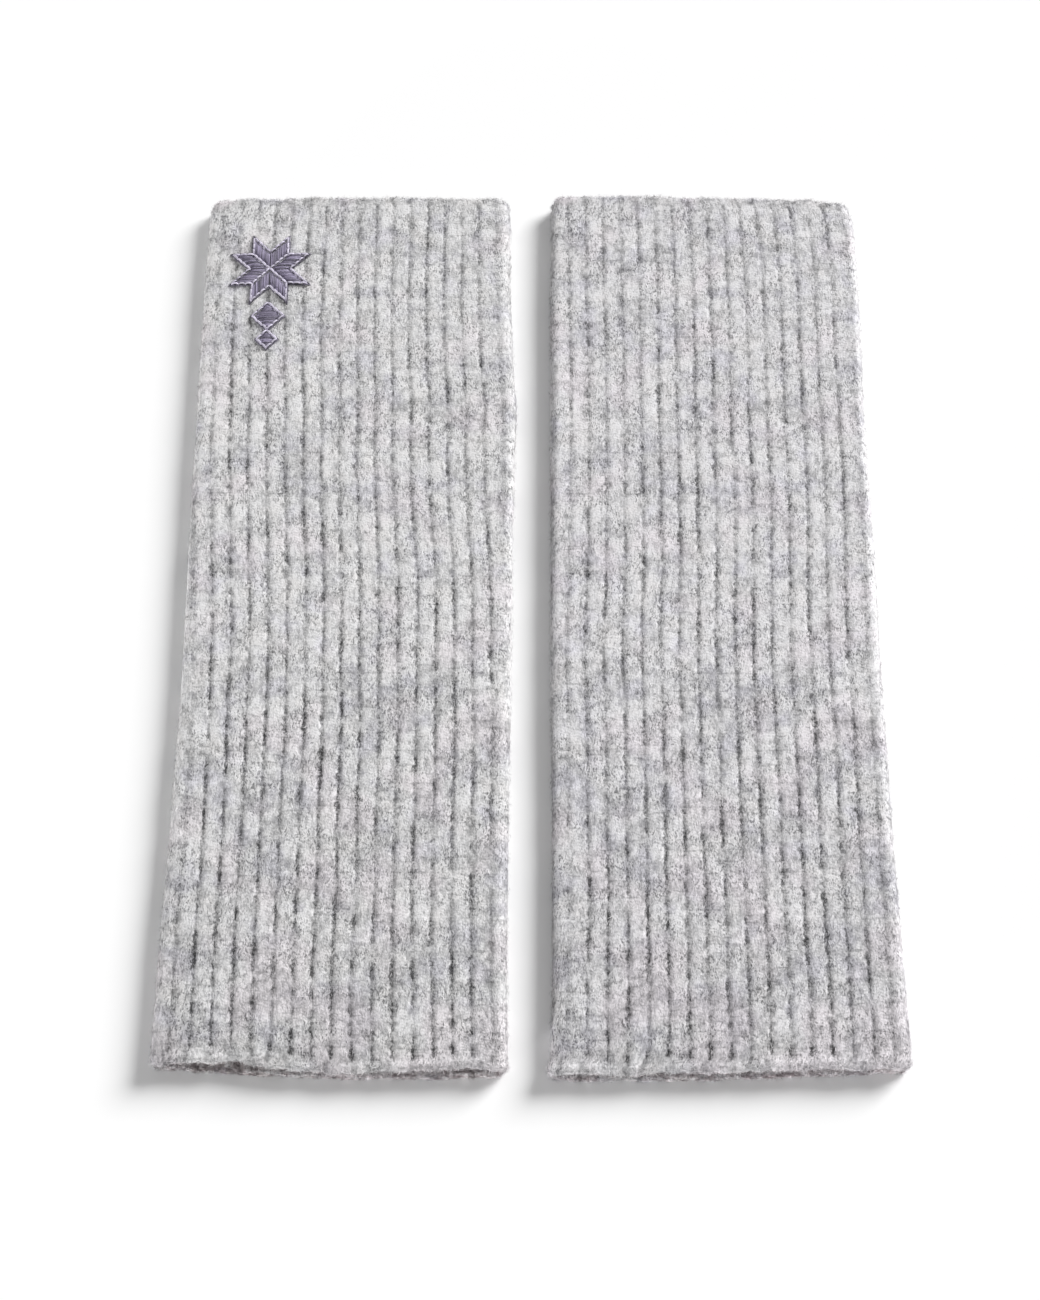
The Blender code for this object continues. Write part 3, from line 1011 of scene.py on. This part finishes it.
# The motif sewn on the left glove: an old eight-pointed knitting star over two
# diamonds, each filled with straight satin stitches.
MOTIF_X = -0.0772
STAR_Y = 0.1090
STAR_INNER = 0.0050  # how far a petal reaches out along its diagonal side
STAR_STITCH = 0.0058  # the length of a petal's stitches
PETAL_GAP = 0.0003
Diamond = namedtuple("Diamond", "y half")
DIAMONDS = (Diamond(y=0.0925, half=0.0044), Diamond(y=0.0845, half=0.0028))
SHORTEST_STITCH = 0.0012
STITCH_PITCH = 0.38 * MM
STITCH_OVERLAP = 0.12  # of an outline stitch's length, past each of its ends
STITCH_JITTER = 0.06 * MM
STITCH_ARCH = 0.42  # the lower, the steeper a stitch rises and dives
RISE_SPREAD = (0.90, 1.10)
THREAD_THICKNESS = 0.34 * MM
STITCH_DIVE = 0.50 * MM
THREAD_RINGS = 8
THREAD_SIDES = 6
THREAD_TWIST = 1.7  # turns to a millimetre
THREAD_BUMP = {"strength": 0.5, "distance": 0.05 * MM}
THREAD_FINISH = {"Roughness": 0.42, "Specular IOR Level": 0.6,
                 "Sheen Weight": 0.25, "Sheen Roughness": 0.35}
THREAD = (0.255, 0.226, 0.322)
PALE_THREAD = (0.610, 0.570, 0.690)

# The stitches that make a motif: how high they stand, how far outside the
# filling they run, how wide they are and how they vary in tone.
StitchKind = namedtuple("StitchKind", "rise outset length width tones pale")
SATIN = StitchKind(0.72 * MM, 0.0, None, 0.44 * MM, (0.45, 1.45), 0.0)
OUTLINE = StitchKind(0.98 * MM, 0.12 * MM, 1.9 * MM, 0.58 * MM, (0.72, 1.12), 1.0)
# Dark low stitches just outside the outline stand in for the shade where the stitches pull
# the knit down: painted shadow.
PAINTED_SHADOW_STITCHES = StitchKind(0.30 * MM, 0.52 * MM, 2.3 * MM, 0.34 * MM, (0.25, 0.55), 0.0)


def motif_outlines(outset):
    """The motif's outlines as closed rings of corners, so far outside its filling."""
    slanted = math.sqrt(2) * outset
    inner, tip = STAR_INNER + outset, STAR_INNER + STAR_STITCH + outset + slanted
    corners = [(0.0, STAR_STITCH + slanted), (inner, tip), (inner, inner), (tip, inner)]
    star = []
    for _ in range(4):
        star += [(x, STAR_Y + y) for x, y in corners]
        corners = [(y, -x) for x, y in corners]
    outlines = [star]
    for diamond in DIAMONDS:
        half = diamond.half + slanted
        outlines.append([(0, diamond.y + half), (half, diamond.y),
                         (0, diamond.y - half), (-half, diamond.y)])
    return outlines


def outline_ends(kind):
    """Both ends of the stitches that follow the motif's outlines: the pale stem stitches,
    and the dark stitches of painted shadow outside them.
    """
    lines = []
    for outline in motif_outlines(kind.outset):
        lines += zip(outline, outline[1:] + outline[:1])
    if kind is OUTLINE:
        for way in ((1, 1), (1, -1), (-1, -1), (-1, 1)):
            lines.append(((0, STAR_Y), (way[0] * STAR_INNER, STAR_Y + way[1] * STAR_INNER)))
    starts, ends = [], []
    for start, end in lines:
        start, end = np.array(start), np.array(end)
        stitches = max(1, round(math.dist(start, end) / kind.length))
        for k in range(stitches):
            starts.append(start + (end - start) * (k - STITCH_OVERLAP) / stitches)
            ends.append(start + (end - start) * (k + 1 + STITCH_OVERLAP) / stitches)
    return np.array(starts), np.array(ends)


def satin_ends():
    """Both ends of every satin stitch, from the motif's own centre line."""
    starts, ends = [], []
    for x in np.arange(PETAL_GAP / 2 + STITCH_PITCH / 2, STAR_INNER, STITCH_PITCH):
        for flip_x, flip_y in ((1, 1), (1, -1), (-1, 1), (-1, -1)):
            for reach, side in ((x + PETAL_GAP, starts), (x + STAR_STITCH, ends)):
                side.append((flip_x * x, flip_y * reach + STAR_Y))
                side.append((flip_x * reach, flip_y * x + STAR_Y))
    for diamond in DIAMONDS:
        rows = int(diamond.half / STITCH_PITCH)
        for row in range(-rows, rows + 1):
            y = row * STITCH_PITCH
            reach = diamond.half - abs(y)
            if 2 * reach > SHORTEST_STITCH:
                starts.append((-reach, diamond.y + y))
                ends.append((reach, diamond.y + y))
    return np.array(starts), np.array(ends)


def in_motif(x, y):
    """Whether a place lies under the motif's stitches."""
    aside = np.abs(x - MOTIF_X)
    away = np.abs(y - STAR_Y)
    low, high = np.minimum(aside, away), np.maximum(aside, away)
    inside = (low < STAR_INNER) & (high - low < STAR_STITCH)
    for diamond in DIAMONDS:
        inside |= aside + np.abs(y - diamond.y) < diamond.half
    return inside


def crest_height(glove, x, y):
    """The height of the upper wall's crests at places on a glove."""
    along = y + TUBE_LENGTH / 2
    left = between(glove.sides, along, "left") + FOLD_RADIUS
    right = between(glove.sides, along, "right") - FOLD_RADIUS
    across = 2 * (x - left) / (right - left) - 1
    return 2 * FOLD_RADIUS + lift_of(glove, across, along)


def thread_material(name):
    """Smooth mercerised thread, each stitch a little paler or darker."""
    shader = Shader(name)
    around, along = shader.uv("Thread")
    colour = shader.mixed(shader.attribute("pale"), THREAD, PALE_THREAD)
    shader.finish({"Base Color": shader.scaled(colour, shader.attribute("tone"))})
    shader.finish(THREAD_FINISH)

    # Two plies twist round each other along the thread.
    twist = shader.math("ADD", shader.times(along, THREAD_TWIST), around)
    ply = shader.math("SINE", shader.times(twist, 4 * math.pi))
    shader.bump(ply, **THREAD_BUMP)
    return shader.material


MOTIF_SEED = 90


def make_motif(glove):
    """Every stitch is a thread that rises out of the knit and dives back in."""
    rng = np.random.default_rng(glove.seed + MOTIF_SEED)
    groups = [(SATIN, satin_ends())]
    groups += [(kind, outline_ends(kind)) for kind in (OUTLINE, PAINTED_SHADOW_STITCHES)]
    starts, ends = (np.concatenate([sides[k] for _, sides in groups]) for k in (0, 1))
    count = len(starts)
    traits = [np.tile([kind.rise, kind.width, kind.pale, *kind.tones], (len(sides[0]), 1))
              for kind, sides in groups]
    rise, width, pale, darkest, palest = np.concatenate(traits).T
    starts = starts + [MOTIF_X, 0.0] + rng.normal(0.0, STITCH_JITTER, (count, 2))
    ends = ends + [MOTIF_X, 0.0] + rng.normal(0.0, STITCH_JITTER, (count, 2))
    share = np.linspace(0.0, 1.0, THREAD_RINGS)
    flat = starts[:, None] + (ends - starts)[:, None] * share[:, None]
    arch = (4 * share * (1 - share)) ** STITCH_ARCH
    rise = rise * rng.uniform(*RISE_SPREAD, count)
    height = crest_height(glove, flat[..., 0], flat[..., 1])
    height = height - STITCH_DIVE + (STITCH_DIVE + rise)[:, None] * arch
    line = np.concatenate([flat, height[..., None]], axis=-1)

    way = np.gradient(line, axis=1)
    way /= np.linalg.norm(way, axis=2, keepdims=True)
    beside = np.cross(way, [0.0, 0.0, 1.0])
    beside /= np.linalg.norm(beside, axis=2, keepdims=True)
    up = np.cross(beside, way)
    angle = np.arange(THREAD_SIDES) * 2 * math.pi / THREAD_SIDES
    half_width, half_height = width[:, None, None, None] / 2, THREAD_THICKNESS / 2
    points = (line[:, :, None] + half_width * np.cos(angle)[:, None] * beside[:, :, None]
              + half_height * np.sin(angle)[:, None] * up[:, :, None])

    stitch, k, side = np.meshgrid(np.arange(count), np.arange(THREAD_RINGS - 1),
                                  np.arange(THREAD_SIDES), indexing="ij")
    low = (stitch * THREAD_RINGS + k) * THREAD_SIDES
    following = (side + 1) % THREAD_SIDES
    quads = np.stack([low + side, low + following, low + following + THREAD_SIDES,
                      low + side + THREAD_SIDES], -1).reshape(-1, 4)
    mesh = new_mesh(glove.node + "_star", points.reshape(-1, 3), quads)

    length = np.linalg.norm(ends - starts, axis=1)[stitch] / MM
    u = np.stack([side, side + 1, side + 1, side], -1) / THREAD_SIDES
    v = np.stack([k, k, k + 1, k + 1], -1) / (THREAD_RINGS - 1)
    set_uv(mesh, "Thread", np.stack([u, v * length[..., None]], -1))
    set_uv(mesh, "OFBake", np.stack([(stitch[..., None] + 0.1 + 0.8 * u) / count, v], -1))
    tone = darkest + (palest - darkest) * rng.uniform(size=count)
    set_values(mesh, "tone", tone.repeat(THREAD_RINGS * THREAD_SIDES))
    set_values(mesh, "pale", pale.repeat(THREAD_RINGS * THREAD_SIDES))
    return new_object(mesh, thread_material(mesh.name))


def make_glove(glove):
    shell = make_shell(glove, wool_material(glove.node + "_wool", glove.wool))
    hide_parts(glove.node)
    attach(shell, "root")
    pieces = []
    for kind in FUZZ:
        material = fibre_material(f"{glove.node}_{kind.name}", glove.wool, kind.tones)
        fuzz = make_fuzz(glove, kind, material)
        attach(fuzz, "root")
        pieces.append(fuzz)
    if glove is LEFT:
        motif = make_motif(glove)
        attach(motif, "root")
        pieces.append(motif)
    return shell, pieces


# The camera looks down at the pair from in front, as in the photo, whose frame
# is 1040 by 1300 pixels. The target is where the picture's centre meets the floor.
PICTURE_HEIGHT = 1300
FOCAL_PIXELS = 2416
SENSOR = 36.0
CAMERA_ELEVATION = math.radians(64.3)
CAMERA_DISTANCE = 0.670
CAMERA_TARGET = (-0.0030, -0.0133, 0.0)


def make_camera():
    data = bpy.data.cameras.new("camera")
    data.sensor_width = SENSOR
    data.lens = FOCAL_PIXELS / PICTURE_HEIGHT * SENSOR
    camera = bpy.data.objects.new("camera", data)
    x, y, z = CAMERA_TARGET
    camera.location = (x, y - CAMERA_DISTANCE * math.cos(CAMERA_ELEVATION),
                       z + CAMERA_DISTANCE * math.sin(CAMERA_ELEVATION))
    camera.rotation_euler = (math.pi / 2 - CAMERA_ELEVATION, 0.0, 0.0)
    bpy.context.scene.collection.objects.link(camera)
    bpy.context.scene.camera = camera


FLOOR_SIZE = 6.0
FLOOR_DROP = 0.0002
FLOOR_FINISH = {"Base Color": (0.958, 0.958, 0.958, 1.0), "Roughness": 0.9}
WORLD_STRENGTH = 0.375
KEY_FROM = (0.65, 0.51, 0.425)  # low, behind the pair on the right
KEY_STRENGTH = 4.55
KEY_SPREAD = math.radians(30)
FILL_FROM = (-0.70, -0.70, 0.025)  # grazes the sides and the near lips
FILL_STRENGTH = 3.50
FILL_SPREAD = math.radians(6)


def make_floor():
    shader = Shader("floor")
    shader.finish(FLOOR_FINISH)
    bpy.ops.mesh.primitive_plane_add(size=FLOOR_SIZE, location=(0, 0, -FLOOR_DROP))
    floor = bpy.context.object
    floor.name = "floor"
    floor.data.materials.append(shader.material)


def make_sun(name, place, strength, spread):
    data = bpy.data.lights.new(name, "SUN")
    data.energy = strength
    data.angle = spread
    sun = bpy.data.objects.new(name, data)
    sun.location = place
    sun.rotation_euler = sun.location.to_track_quat("Z", "Y").to_euler()
    bpy.context.scene.collection.objects.link(sun)


def make_light():
    world = bpy.data.worlds.new("studio")
    world.use_nodes = True
    world.node_tree.nodes["Background"].inputs["Color"].default_value = (1, 1, 1, 1)
    world.node_tree.nodes["Background"].inputs["Strength"].default_value = WORLD_STRENGTH
    bpy.context.scene.world = world
    make_sun("key", KEY_FROM, KEY_STRENGTH, KEY_SPREAD)
    make_sun("fill", FILL_FROM, FILL_STRENGTH, FILL_SPREAD)
    bpy.context.scene.view_settings.view_transform = "Standard"


make_camera()
make_floor()
make_light()
for glove in (LEFT, RIGHT):
    shell, pieces = make_glove(glove)
